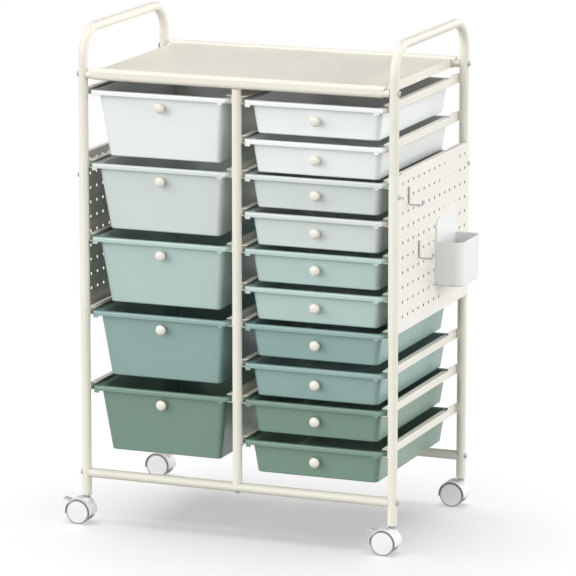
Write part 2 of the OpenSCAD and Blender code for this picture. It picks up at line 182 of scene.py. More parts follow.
def fillet(pts, radii, steps=4, closed=True):
    """Rounds the corners of a polyline or polygon in 2D."""
    n = len(pts)
    if not hasattr(radii, "__len__"):
        radii = [radii] * n
    out = []
    for i in range(n):
        p = Vector(pts[i])
        r = radii[i]
        if r <= 0 or (not closed and i in (0, n - 1)):
            out.append(tuple(p))
            continue
        u = (Vector(pts[i - 1]) - p)
        w = (Vector(pts[(i + 1) % n]) - p)
        lu, lw = u.length, w.length
        u, w = u / lu, w / lw
        c = max(-1.0, min(1.0, u.dot(w)))
        phi = math.acos(c)
        if phi > math.pi - 1e-4:
            out.append(tuple(p))
            continue
        t = min(r / math.tan(phi / 2), 0.499 * lu, 0.499 * lw)
        rr = t * math.tan(phi / 2)
        centre = p + (u + w).normalized() * (rr / math.sin(phi / 2))
        a, b = p + u * t - centre, p + w * t - centre
        turn = math.pi - phi
        sgn = 1 if a.x * b.y - a.y * b.x > 0 else -1
        for k in range(steps + 1):
            ang = sgn * turn * k / steps
            q = Vector((a.x * math.cos(ang) - a.y * math.sin(ang), a.x * math.sin(ang) + a.y * math.cos(ang)))
            out.append(tuple(centre + q))
    return out


def area2(poly):
    return sum(poly[i - 1][0] * poly[i][1] - poly[i][0] * poly[i - 1][1] for i in range(len(poly))) / 2


def inset(poly, d):
    """Moves a counter-clockwise outline inwards."""
    out = []
    n = len(poly)
    for i in range(n):
        p0, p1, p2 = Vector(poly[i - 1]), Vector(poly[i]), Vector(poly[(i + 1) % n])
        e1, e2 = (p1 - p0).normalized(), (p2 - p1).normalized()
        n1, n2 = Vector((-e1.y, e1.x)), Vector((-e2.y, e2.x))
        m = (n1 + n2) / max(0.3, 1 + n1.dot(n2))
        out.append(tuple(p1 + m * d))
    return out


def prism(outline, h0, h1, to3, bevel=0.4, steps=2):
    """An outline drawn out between two heights, with rounded end edges. to3 maps (u, v, h) to x, y, z."""
    if area2(outline) < 0:
        outline = outline[::-1]
    rings = []
    if bevel > 0:
        for k in range(steps + 1):
            a = math.pi / 2 * k / steps
            rings.append((inset(outline, bevel * (1 - math.sin(a))), h0 + bevel * (1 - math.cos(a))))
        for k in range(steps, -1, -1):
            a = math.pi / 2 * k / steps
            rings.append((inset(outline, bevel * (1 - math.sin(a))), h1 - bevel * (1 - math.cos(a))))
    else:
        rings = [(outline, h0), (outline, h1)]
    return loft([[to3(u, v, h) for u, v in ring] for ring, h in rings])


def XY(u, v, h):
    return (u, v, h)


def YZ(u, v, h):
    return (h, u, v)


def XZ(u, v, h):
    return (u, h, v)


def sweep(path, r, seg=32, side=(1, 0, 0), soft=0.6):
    """A round bar along a path in one plane; side is the plane's normal. soft rounds the end edges."""
    side = Vector(side).normalized()
    pts = [Vector(p) for p in path]
    rings = []

    def ring(c, tangent, rad):
        up = tangent.cross(side).normalized()
        return [tuple(c + side * (rad * math.cos(2 * math.pi * j / seg)) + up * (rad * math.sin(2 * math.pi * j / seg))) for j in range(seg)]

    n = len(pts)
    for i in range(n):
        if i == 0:
            t = (pts[1] - pts[0]).normalized()
        elif i == n - 1:
            t = (pts[-1] - pts[-2]).normalized()
        else:
            t = ((pts[i] - pts[i - 1]).normalized() + (pts[i + 1] - pts[i]).normalized()).normalized()
        if i == 0 and soft > 0:
            for k in range(4):
                a = math.pi / 2 * k / 3
                rings.append(ring(pts[0] + t * soft * (1 - math.sin(a)) * 1.0 if k == 3 else pts[0] + t * soft * (1 - math.cos(a)), t, r - soft * (1 - math.sin(a))))
            rings[-1] = ring(pts[0] + t * soft, t, r)
        elif i == n - 1 and soft > 0:
            for k in range(3, -1, -1):
                a = math.pi / 2 * k / 3
                rings.append(ring(pts[-1] - t * soft * (1 - math.cos(a)), t, r - soft * (1 - math.sin(a))))
        else:
            rings.append(ring(pts[i], t, r))
    return loft(rings)


def arc(cx, cy, r, a0, a1, n):
    return [(cx + r * math.cos(math.radians(a0 + (a1 - a0) * i / n)), cy + r * math.sin(math.radians(a0 + (a1 - a0) * i / n))) for i in range(n + 1)]


def at(x=0, y=0, z=0, rx=0, ry=0, rz=0):
    return Matrix.Translation((x, y, z)) @ Matrix.Rotation(math.radians(rz), 4, "Z") @ Matrix.Rotation(math.radians(ry), 4, "Y") @ Matrix.Rotation(math.radians(rx), 4, "X")


# ---------------------------------------------------------------- materials
def lin(c):
    return tuple((v / 255 / 12.92) if v / 255 <= 0.04045 else ((v / 255 + 0.055) / 1.055) ** 2.4 for v in c)


class Nodes:
    def __init__(self, name):
        self.m = bpy.data.materials.new(name)
        self.m.use_nodes = True
        self.t = self.m.node_tree
        self.t.nodes.clear()
        self.out = self.new("ShaderNodeOutputMaterial")
        self.b = self.new("ShaderNodeBsdfPrincipled")
        self.t.links.new(self.b.outputs["BSDF"], self.out.inputs["Surface"])
        self.co = self.new("ShaderNodeTexCoord").outputs["Object"]

    def new(self, kind, **kw):
        n = self.t.nodes.new(kind)
        for k, v in kw.items():
            setattr(n, k, v)
        return n

    def link(self, a, b):
        self.t.links.new(a, b)

    def noise(self, scale, detail=2.0, rough=0.5, stretch=None, distortion=0.0):
        n = self.new("ShaderNodeTexNoise")
        n.inputs["Scale"].default_value = scale
        n.inputs["Detail"].default_value = detail
        n.inputs["Roughness"].default_value = rough
        n.inputs["Distortion"].default_value = distortion
        co = self.co
        if stretch:
            mp = self.new("ShaderNodeMapping")
            mp.inputs["Scale"].default_value = stretch
            self.link(co, mp.inputs["Vector"])
            co = mp.outputs["Vector"]
        self.link(co, n.inputs["Vector"])
        return n.outputs["Fac"]

    def voronoi(self, scale, feature="F1", out="Distance"):
        n = self.new("ShaderNodeTexVoronoi", feature=feature)
        n.inputs["Scale"].default_value = scale
        self.link(self.co, n.inputs["Vector"])
        return n.outputs[out]

    def ramp(self, fac, stops):
        n = self.new("ShaderNodeValToRGB")
        e = n.color_ramp.elements
        while len(e) < len(stops):
            e.new(0.5)
        for k, (p, c) in zip(e, stops):
            k.position = p
            k.color = (*c, 1.0)
        self.link(fac, n.inputs["Fac"])
        return n.outputs["Color"]

    def span(self, fac, lo, hi, f0=0.3, f1=0.7):
        n = self.new("ShaderNodeMapRange")
        n.inputs["From Min"].default_value = f0
        n.inputs["From Max"].default_value = f1
        n.inputs["To Min"].default_value = lo
        n.inputs["To Max"].default_value = hi
        self.link(fac, n.inputs["Value"])
        return n.outputs["Result"]

    def mix(self, fac, a, b, kind="MIX"):
        n = self.new("ShaderNodeMix", data_type="RGBA", blend_type=kind)
        for sock, v in (("Factor", fac), ("A", a), ("B", b)):
            s = [i for i in n.inputs if i.name == sock and i.enabled][0] if sock != "Factor" else n.inputs[0]
            if isinstance(v, (int, float)):
                s.default_value = v
            elif isinstance(v, tuple):
                s.default_value = (*v, 1.0)
            else:
                self.link(v, s)
        return [o for o in n.outputs if o.enabled][0]

    def math(self, op, a, b):
        n = self.new("ShaderNodeMath", operation=op)
        for i, v in enumerate((a, b)):
            if isinstance(v, (int, float)):
                n.inputs[i].default_value = v
            else:
                self.link(v, n.inputs[i])
        return n.outputs[0]

    def bump(self, height, strength, distance, after=None):
        n = self.new("ShaderNodeBump")
        n.inputs["Strength"].default_value = strength
        n.inputs["Distance"].default_value = distance
        self.link(height, n.inputs["Height"])
        if after is not None:
            self.link(after, n.inputs["Normal"])
        return n.outputs["Normal"]

    def set(self, **kw):
        for k, v in kw.items():
            s = self.b.inputs[k.replace("_", " ")]
            if hasattr(v, "is_output"):
                self.link(v, s)
            else:
                s.default_value = v
        return self.m


def shade(c, k):
    return tuple(min(1.0, v * k) for v in c)


def powder(name, rgb):
    """Powder-coated steel: fine orange peel, a little dust in the roughness."""
    n = Nodes(name)
    c = lin(rgb)
    tone = n.ramp(n.noise(5.0, 3.0), [(0.3, shade(c, 0.965)), (0.7, shade(c, 1.02))])
    speck = n.span(n.noise(420.0, 2.0), 0.0, 1.0, 0.62, 0.72)
    col = n.mix(n.math("MULTIPLY", speck, 0.05), tone, shade(c, 0.8))
    peel = n.bump(n.noise(330.0, 2.0, 0.45), 0.10, 0.0006)
    n1 = n.bump(n.noise(1500.0, 1.0), 0.06, 0.0002, peel)
    return n.set(Base_Color=col, Roughness=n.span(n.noise(24.0, 4.0), 0.34, 0.48), Normal=n1, Specular_IOR_Level=0.5)


def moulded(name, rgb, lo=0.3, hi=0.39, grain=900.0, depth=0.00025, coat=0.0):
    """Injection-moulded plastic: faint flow marks, spark-eroded grain, soft sheen."""
    n = Nodes(name)
    c = lin(rgb)
    flow = n.noise(7.0, 4.0, 0.55, stretch=(0.5, 0.5, 2.2), distortion=0.6)
    tone = n.ramp(flow, [(0.25, shade(c, 0.982)), (0.5, c), (0.78, shade(c, 1.014))])
    dust = n.span(n.noise(160.0, 3.0), 0.0, 1.0, 0.6, 0.8)
    col = n.mix(n.math("MULTIPLY", dust, 0.03), tone, shade(c, 1.1))
    g = n.bump(n.noise(grain, 2.0, 0.6), 0.05, depth)
    g2 = n.bump(n.noise(18.0, 1.0), 0.015, 0.0012, g)
    return n.set(Base_Color=col, Roughness=n.span(n.noise(36.0, 4.0), lo, hi), Normal=g2, Specular_IOR_Level=0.55, Coat_Weight=coat, Coat_Roughness=0.22)


def zinc(name, rgb=(178, 180, 180)):
    n = Nodes(name)
    c = lin(rgb)
    grain = n.voronoi(260.0, out="Distance")
    tone = n.ramp(grain, [(0.1, shade(c, 0.82)), (0.6, shade(c, 1.06))])
    g = n.bump(n.noise(700.0, 3.0, 0.6, stretch=(1, 1, 0.15)), 0.16, 0.0002)
    return n.set(Base_Color=tone, Metallic=1.0, Roughness=n.span(n.noise(140.0, 3.0), 0.285, 0.46), Normal=g)


def tread(name, rgb):
    """Wheel tyre: matt, with grey scuffs from rolling."""
    n = Nodes(name)
    c = lin(rgb)
    scuff = n.span(n.noise(90.0, 5.0, 0.7, stretch=(1, 0.35, 1)), 0.0, 1.0, 0.5, 0.75)
    col = n.mix(n.math("MULTIPLY", scuff, 0.35), shade(c, 1.0), shade(c, 0.72))
    g = n.bump(n.noise(380.0, 3.0, 0.6), 0.2, 0.0004)
    return n.set(Base_Color=col, Roughness=n.span(scuff, 0.42, 0.68, 0.0, 1.0), Normal=g)


CREAM = powder("frame_cream_powder", (231, 228, 215))
PANEL = powder("panel_cream_powder", (234, 231, 222))
RAIL = powder("rail_cream_powder", (230, 227, 216))
TINTS = [
    moulded("drawer_white", (235, 239, 238), coat=0.35),
    moulded("drawer_pale_grey", (209, 217, 215), coat=0.35),
    moulded("drawer_mist", (178, 199, 195), coat=0.35),
    moulded("drawer_sage", (136, 164, 159), coat=0.35),
    moulded("drawer_fern", (109, 138, 122), coat=0.35),
]
KNOB = moulded("knob_cream_gloss", (233, 230, 217), 0.285, 0.35, 700.0, 0.00015)
CUP = moulded("cup_white_satin", (232, 233, 232), 0.32, 0.44)
NYLON = moulded("caster_white_nylon", (236, 236, 235), 0.3, 0.42, 800.0, 0.0002)
# grey tyre colour: partly the tyre's own grey, partly painted shade for the dark gap under the cover and the dark line
# where the wheel meets the floor
TYRE_GREY_AND_PAINTED_SHADE = tread("caster_grey_tyre_and_painted_gap_shade", (150, 151, 152))
LEVER = moulded("lever_grey_plastic", (206, 207, 206), 0.38, 0.5)
STEEL = zinc("zinc_plated_steel")

# ---------------------------------------------------------------- frame tubes


def end_path(x):
    p = [(x, -HD, LEG_Z)] + [(x, -HD, z) for z in (200, 400, 600, 800)]
    p += [(x, y, z) for y, z in arc(-HD + BEND_R, BEND_Z, BEND_R, 180, 90, 18)]
    p += [(x, y, HANDLE_Z) for y in (-60, 0, 60)]
    p += [(x, y, z) for y, z in arc(HD - BEND_R, BEND_Z, BEND_R, 90, 0, 18)]
    p += [(x, HD, z) for z in (800, 600, 400, 200)] + [(x, HD, LEG_Z)]
    return p


for name, x in (("left", -HW), ("right", HW)):
    make(name + "_end_tube", Shell().add(sweep(end_path(x), TR, 40)), [CREAM], "cart_frame", [name + "_end_frame"])

SAD = TR + 0.7         # saddle radius at a joint between two tubes


def bottom_tube(y):
    seg, n = 40, 9
    ang = [2 * math.pi * j / seg for j in range(seg)]
    end = [HW - math.sqrt(max(0.0, SAD ** 2 - (TR * math.cos(a)) ** 2)) for a in ang]
    rings = []
    for i in range(n):
        k = -1 + 2 * i / (n - 1)
        rings.append([(k * end[j], y + TR * math.cos(ang[j]), BOTTOM_Z + TR * math.sin(ang[j])) for j in range(seg)])
    verts, faces = loft(rings, False, False)
    fan_cap(verts, faces, list(range(seg)), (-HW + SAD, y, BOTTOM_Z), True)
    fan_cap(verts, faces, list(range((n - 1) * seg, n * seg)), (HW - SAD, y, BOTTOM_Z))
    return verts, faces


def middle_post(y):
    seg, n = 40, 9
    ang = [2 * math.pi * j / seg for j in range(seg)]
    low = [BOTTOM_Z + math.sqrt(max(0.0, SAD ** 2 - (TR * math.sin(a)) ** 2)) for a in ang]
    top = LIP_Z - 0.3
    rings = []
    for i in range(n):
        k = i / (n - 1)
        rings.append([(TR * math.cos(ang[j]), y + TR * math.sin(ang[j]), low[j] + (top - low[j]) * k) for j in range(seg)])
    verts, faces = loft(rings, False, True)
    fan_cap(verts, faces, list(range(seg)), (0, y, BOTTOM_Z + SAD), True)
    return verts, faces


for name, y in (("front", -HD), ("rear", HD)):
    make(name + "_cross_tube", Shell().add(bottom_tube(y)), [CREAM], "cart_frame", [name + "_bottom_tube"])
    make(name + "_centre_post", Shell().add(middle_post(y)), [CREAM], "cart_frame", [name + "_middle_post"])

# ---------------------------------------------------------------- top shelf
TRAY_X, TRAY_Z = HW - 25.0, SHELF - 4.5   # side flanges and sheet, below the rolled edges
STUB_R, STUB_Z = 7.75, LIP_Z + 9.5        # round ends that meet the legs
GAP = 1.0                                 # clear line between a round end and a leg


def rolled_edge(sy):
    """A rolled edge; each end is cut in a curve that leans outwards at the top."""
    prof = fillet([(-8, LIP_Z), (8, LIP_Z), (8, SHELF), (-8, SHELF)], 7.5, 10)

    def x_end(z):
        return TRAY_X + 3.0 + 8.0 * ((z - LIP_Z) / LIP_H) ** 2

    rings = []
    for k, d in ((-1.0, 0.6), (-0.997, 0.0), (-0.8, 0.0), (-0.4, 0.0), (0.0, 0.0), (0.4, 0.0), (0.8, 0.0), (0.997, 0.0), (1.0, 0.6)):
        rings.append([(k * x_end(v), sy * (-HD + u), z) for (u, z), (_, v) in zip(inset(prof, d), prof)])
    return loft(rings)


def round_end(sx, sy):
    seg = 36
    ang = [2 * math.pi * j / seg for j in range(seg)]
    rings = []
    for k, d in ((0.0, 0.0), (0.93, 0.0), (1.0, 0.5)):
        r = STUB_R - d
        ring = []
        for a in ang:
            u, v = r * math.cos(a), r * math.sin(a)
            x1 = HW - math.sqrt((TR + GAP) ** 2 - u * u)
            ring.append((sx * (TRAY_X - 5 + (x1 - TRAY_X + 5) * k), sy * -HD + u, STUB_Z + v))
        rings.append(ring)
    verts, faces = loft(rings, True, False)
    fan_cap(verts, faces, list(range(2 * seg, 3 * seg)), (sx * (HW - TR - GAP), sy * -HD, STUB_Z))
    return verts, faces


s = Shell()
for sy in (1, -1):
    s.add(rolled_edge(sy))
    for sx in (1, -1):
        s.add(round_end(sx, sy))
# sheet with its two folded side flanges
low, t = LIP_Z + 1.0, 0.8
fold = [(-TRAY_X, low), (-TRAY_X + t, low), (-TRAY_X + t, TRAY_Z - t), (TRAY_X - t, TRAY_Z - t), (TRAY_X - t, low), (TRAY_X, low), (TRAY_X, TRAY_Z), (-TRAY_X, TRAY_Z)]
fold = fillet(fold, [0.3, 0.3, 0.8, 0.8, 0.3, 0.3, 1.6, 1.6], 5)
s.add(prism(fold, -HD + 7.0, HD - 7.0, XZ, 0.0))
# spot rivets that hold the flanges to the edges' inner clips
for sx in (1, -1):
    for y in (-128.0, 128.0):
        s.add(lathe([(0, -0.5), (2.6, -0.5), (2.6, 0.1), (2.2, 0.55), (1.2, 0.85), (0, 0.95)], 24), 0, at(sx * TRAY_X, y, STUB_Z - 2.0, 0, 90 * sx, 0))
make("shelf_sheet", s, [CREAM], "cart_frame", ["top_shelf"])

# ---------------------------------------------------------------- runners


RUN_H = 15.0


def runner_profile(lipw):
    t, h = 0.9, RUN_H
    pts = [(0, 0), (lipw, 0), (lipw, t), (t, t), (t, h - t), (lipw, h - t), (lipw, h), (0, h)]
    return fillet(pts, [1.7, 0.45, 0.45, 0.5, 0.5, 0.45, 0.45, 1.7], 3)


def bump_z(t):
    return 6.2 * math.sin(math.radians(90 * min(1, t / 0.25))) ** 2 - 2.6 * (max(0, t - 0.25) / 0.75) ** 2


def runner():
    s = Shell()
    y0, y1 = FRONT + 2.5, HD - 58
    rings = []
    for y, w in ((y0, 11.2), (y0 + 1.2, 12.0), (y0 + 110, 12.0), (y0 + 210, 12.0), (y1 - 2, 12.0), (y1 + 4, 10.6), (y1 + 9, 7.2), (y1 + 13, 3.0), (y1 + 15, 1.4)):
        rings.append([(u, y, v) for u, v in runner_profile(w)])
    s.add(loft(rings))
    n = 24
    tab = [(y1 - 1, 0.4), (y1 + 55.5, 0.4)] + [(y1 + 55.5 * i / n, RUN_H + bump_z(i / n)) for i in range(n, -1, -1)] + [(y1 - 1, RUN_H - 0.4)]
    tab = fillet(tab, [0.3, 1.5, 2.5] + [0] * n + [0.3], 3)
    s.add(prism(tab, 0.02, 0.88, YZ, 0.25, 2))
    return s


RUN = runner()
for name, cx, rows in (("left", -155.0, (0, 2, 4, 6, 8)), ("right", 155.0, range(10))):
    s = Shell()
    e = 155.0 - TR - 0.02
    for i in rows:
        z = RIM_Z[i] - 8.2
        s.merge(RUN, at(cx - e, 0, z))
        s.merge(RUN, Matrix.Translation((cx + e, 0, z)) @ Matrix.Scale(-1, 4, (1, 0, 0)))
    make(name + "_drawer_rails", s, [RAIL], "cart_frame", [name + "_runners"])

# ---------------------------------------------------------------- perforated panels


def panel(sgn):
    """Middle surface of the panel, thickened afterwards."""
    dy, dz, hr, k = 28.5, 27.7, 3.0, 6
    mid, rc = HW + TR + 0.75, TR + 0.75
    prof = [(HW + rc * math.cos(math.radians(a)), -HD + rc * math.sin(math.radians(a))) for a in range(-150, 0, 10)]
    prof += [(mid, -HD)] + [(mid, -6.5 * dy + i * dy / k) for i in range(13 * k + 1)] + [(mid, HD)]
    prof += [(HW + rc * math.cos(math.radians(a)), HD + rc * math.sin(math.radians(a))) for a in range(10, 160, 10)]
    first = 16                      # first column of the hole field
    z_top, z_low = 697.8 + dz / 2, 697.8 - 9.5 * dz
    zs = [420.5] + [z_low + i * dz / k for i in range(10 * k + 1)] + [716.0]
    grid = {}
    verts, faces = [], []

    def vert(p):
        verts.append((sgn * p[0], p[1], p[2]))
        return len(verts) - 1

    def g(i, j):
        if (i, j) not in grid:
            grid[i, j] = vert((prof[i][0], prof[i][1], zs[j]))
        return grid[i, j]

    nu, nv = len(prof), len(zs)
    for i in range(nu - 1):
        for j in range(nv - 1):
            hole = first <= i < first + 13 * k and 1 <= j < 1 + 10 * k
            if not hole:
                faces.append([g(i, j), g(i + 1, j), g(i + 1, j + 1), g(i, j + 1)])
    for a in range(13):
        for b in range(10):
            i0, j0 = first + a * k, 1 + b * k
            edge = [(i0 + t, j0) for t in range(k)] + [(i0 + k, j0 + t) for t in range(k)] + [(i0 + k - t, j0 + k) for t in range(k)] + [(i0, j0 + k - t) for t in range(k)]
            cy, cz = prof[i0][1] + dy / 2, zs[j0] + dz / 2
            outer = [g(*e) for e in edge]
            last = outer
            for share, rad in ((0.5, 6.2), (0.0, hr)):
                ring = []
                for e in edge:
                    y, z = prof[e[0]][1] - cy, zs[e[1]] - cz
                    q = math.atan2(z, y)
                    ring.append(vert((mid, cy + rad * math.cos(q), cz + rad * math.sin(q))))
                n = len(ring)
                for t in range(n):
                    faces.append([last[t], last[(t + 1) % n], ring[(t + 1) % n], ring[t]])
                last = ring
    # folded flanges along the top and bottom, between the legs
    i0, i1 = first + 2, first + 13 * k - 2
    for j_edge, sign, zz in ((nv - 1, 1, 717.0), (0, -1, 419.5)):
        bend = 1.0
        z0 = zs[j_edge]
        rows = [[g(i, j_edge) for i in range(i0, i1 + 1)]]
        steps = [(mid - bend + bend * math.cos(math.radians(a)), z0 + sign * bend * math.sin(math.radians(a))) for a in (22.5, 45, 67.5, 90)]
        steps += [(mid - 5, z0 + sign * bend), (mid - 10.4, z0 + sign * bend)]
        for x, z in steps:
            rows.append([vert((x, prof[i][1], z)) for i in range(i0, i1 + 1)])
        for a, b in zip(rows, rows[1:]):
            for t in range(len(a) - 1):
                q = [a[t], a[t + 1], b[t + 1], b[t]]
                faces.append(q if sign > 0 else q[::-1])
    return verts, faces


for name, sgn in (("left", -1), ("right", 1)):
    v, f = panel(sgn)
    if sgn < 0:
        f = [q[::-1] for q in f]
    make(name + "_perforated_panel", Shell().add((v, f)), [PANEL], "cart_frame", [name + "_pegboard"], sharp=50, thick=0.55)

# ---------------------------------------------------------------- cup
CUP_X, CUP_Y, CUP_Z, CUP_H = 320.3, 64.5, 472.0, 85.0


def cup_ring(x0, x1, h, r, z, n=12):
    r0 = 2.0
    pts = [(x0, -h), (x1, -h), (x1, h), (x0, h)]
    return [(CUP_X + u, CUP_Y + v, CUP_Z + z) for u, v in fillet(pts, [r0, r, r, r0], n)]


def cup_body():
    w = 2.0
    rings = []
    for k in range(7):                       # rounded foot
        a = math.pi / 2 * k / 6
        d = 4.5 * (1 - math.sin(a))
        rings.append(cup_ring(0.3 + d * 0.2, 51.2 - d, 54.8 - d, 15.6 - d * 0.6, 4.5 * (1 - math.cos(a))))
    rings.append(cup_ring(0.2, 51.9, 55.4, 16.2, 45.0))
    rings.append(cup_ring(0.1, 52.2, 55.7, 16.4, 80.2))
    for k in range(9):                       # rolled rim
        a = math.radians(-70 + 230 * k / 8)
        d = 1.45 * math.cos(a)
        rings.append(cup_ring(0.1, 51.55 + d, 54.55 + d, 15.6 + d, 83.4 + 1.55 * math.sin(a)))
    rings.append(cup_ring(2.0, 50.2, 53.4, 14.4, 80.0))
    rings.append(cup_ring(2.1, 49.9, 53.2, 14.2, 40.0))
    for k in range(6, -1, -1):               # inside of the foot
        a = math.pi / 2 * k / 6
        d = 3.5 * (1 - math.sin(a))
        rings.append(cup_ring(2.2 + d, 49.4 - d, 52.6 - d, 13.8 - d * 0.6, 2.2 + 3.5 * (1 - math.cos(a))))
    return loft(rings)


s = Shell().add(cup_body())
back = [(CUP_Y - 56, CUP_Z + 6), (CUP_Y + 56, CUP_Z + 6), (CUP_Y + 56, CUP_Z + 130), (CUP_Y - 56, CUP_Z + 130)]
s.add(prism(fillet(back, [6, 6, 22, 22], 14), CUP_X, CUP_X + 2.0, YZ, 0.7, 3))
for i in (7, 9):
    y, z = (i - 6) * 28.5, 697.8 - 4 * 27.7
    path = [(CUP_X + 1.0, y, z)] + [(u, y, v) for u, v in arc(CUP_X - 2.1, z + 1.8, 1.8, -90, -180, 6)] + [(CUP_X - 3.9, y, z + 7)]
    s.add(sweep(path, 2.4, 20, (0, 1, 0), 1.2))
make("hanging_cup", s, [CUP], "cart_frame", ["storage_cup"], sharp=45)

# ---------------------------------------------------------------- hooks
s = Shell()
for i, j in ((1, 1), (3, 5)):
    y, z = (i - 6) * 28.5, 697.8 - j * 27.7
    xf, xb = 320.1 + 1.8, 319.1 - 5
    p = [(xf, y, z + 18), (xf, y, z + 4), (xf, y, z - 6)]
    p += [(u, y, v) for u, v in arc(xf + 4, z - 12, 4, 180, 270, 8)]
    p += [(u, y, v) for u, v in arc(xf + 22, z - 12, 4, 270, 360, 8)] + [(xf + 26, y, z - 5)]
    s.add(sweep(p, 1.6, 20, (0, 1, 0), 1.5))
    p = [(xf, y, z)] + [(u, y, v) for u, v in arc(xb + 3, z + 3, 3, 270, 180, 8)] + [(xb, y, z + 10)]
    s.add(sweep(p, 1.5, 20, (0, 1, 0), 1.3))
make("wire_hooks", s, [STEEL], "cart_frame", ["peg_hooks"], sharp=60)

# ---------------------------------------------------------------- screws


def pan_head(r, hr, shank):
    """Domed head with a tapered cross recess, seated at z = 0, shank below."""
    L, w = hr * 0.5, hr * 0.12
    corner = math.degrees(math.atan2(w, L))
    angs = []
    for q in range(4):
        base = 90 * q
        angs += [base - corner, base - corner / 2, base, base + corner / 2, base + corner, base + 30, base + 45, base + 60]
    angs = [math.radians(a) for a in sorted(angs)]

    def cross(a, k=1.0):
        c, t = abs(math.cos(a)), abs(math.sin(a))
        r1 = min(L * k / max(c, 1e-9), w * k / max(t, 1e-9))
        r2 = min(w * k / max(c, 1e-9), L * k / max(t, 1e-9))
        return max(r1, r2)

    def dome(rad):
        return hr * (0.24 + 0.38 * math.sqrt(max(0.0, 1 - (rad / hr) ** 2)))

    def circle(rad, z):
        return [(rad * math.cos(a), rad * math.sin(a), z) for a in angs]

    rings = [circle(r, -shank), circle(r, 0.0), circle(hr * 0.97, 0.0), circle(hr, hr * 0.04), circle(hr, hr * 0.2)]
    for t in (0.97, 0.9, 0.8, 0.68):
        rings.append(circle(hr * t, dome(hr * t)))
    mid = [(0.5 * (cross(a) + hr * 0.62) * math.cos(a), 0.5 * (cross(a) + hr * 0.62) * math.sin(a), dome(0.5 * (cross(a) + hr * 0.62))) for a in angs]
    rings.append(mid)
    rings.append([(cross(a) * math.cos(a), cross(a) * math.sin(a), dome(cross(a))) for a in angs])
    rings.append([(cross(a, 0.86) * math.cos(a), cross(a, 0.86) * math.sin(a), hr * 0.16) for a in angs])
    return loft(rings)


s = Shell()
for sx in (1, -1):
    for y in (-HD, HD):
        for z in (BOTTOM_Z, STUB_Z):
            s.add(pan_head(2.9, 5.2, 30), 0, at(sx * (HW + TR + 0.02), y, z, 0, 90 * sx, 0) @ Matrix.Rotation(0.4 + z, 4, "Z"))
        s.add(pan_head(2.4, 4.5, 8), 0, at(sx * (HW + TR + 1.12), y, 675.5, 0, 90 * sx, 0) @ Matrix.Rotation(0.9 + y, 4, "Z"))
for y in (-HD, HD):
    s.add(pan_head(2.4, 5.0, 12), 0, at(0, y, BOTTOM_Z - TR - 0.02, 180, 0, 0))
make("assembly_screws", s, [STEEL], "cart_frame", ["frame_screws"], sharp=40)

# ---------------------------------------------------------------- drawers


def ring(a, b, r, cy, z, n=10, mx=10, my=10):
    out = []
    for k in range(4):
        sx = 1 if k in (0, 3) else -1
        sy = 1 if k < 2 else -1
        cx, c2 = sx * (a - r), cy + sy * (b - r)
        for i in range(n + 1):
            t = math.radians(90 * k + 90 * i / n)
            out.append((cx + r * math.cos(t), c2 + r * math.sin(t), z))
        m = mx if k in (0, 2) else my
        p = out[-1]
        nk = (k + 1) % 4
        sx2 = 1 if nk in (0, 3) else -1
        sy2 = 1 if nk < 2 else -1
        t = math.radians(90 * nk)
        q = (sx2 * (a - r) + r * math.cos(t), cy + sy2 * (b - r) + r * math.sin(t), z)
        for i in range(1, m + 1):
            f = i / (m + 1)
            out.append((p[0] + (q[0] - p[0]) * f, p[1] + (q[1] - p[1]) * f, z))
    return out


CY = -3.0


def tub(inn, z, extra=0.0):
    """Ring on the tub's wall, inn inside its outer face."""
    return ring(129 - inn + z * SLOPE, 185 - inn + z * SLOPE, max(2.0, 12.5 - inn * 0.8 + z * SLOPE * 0.25), CY, z)


def rim(inn, z):
    return ring(142.5 - inn, 193 - inn, max(1.0, 12 - inn), CY, z)


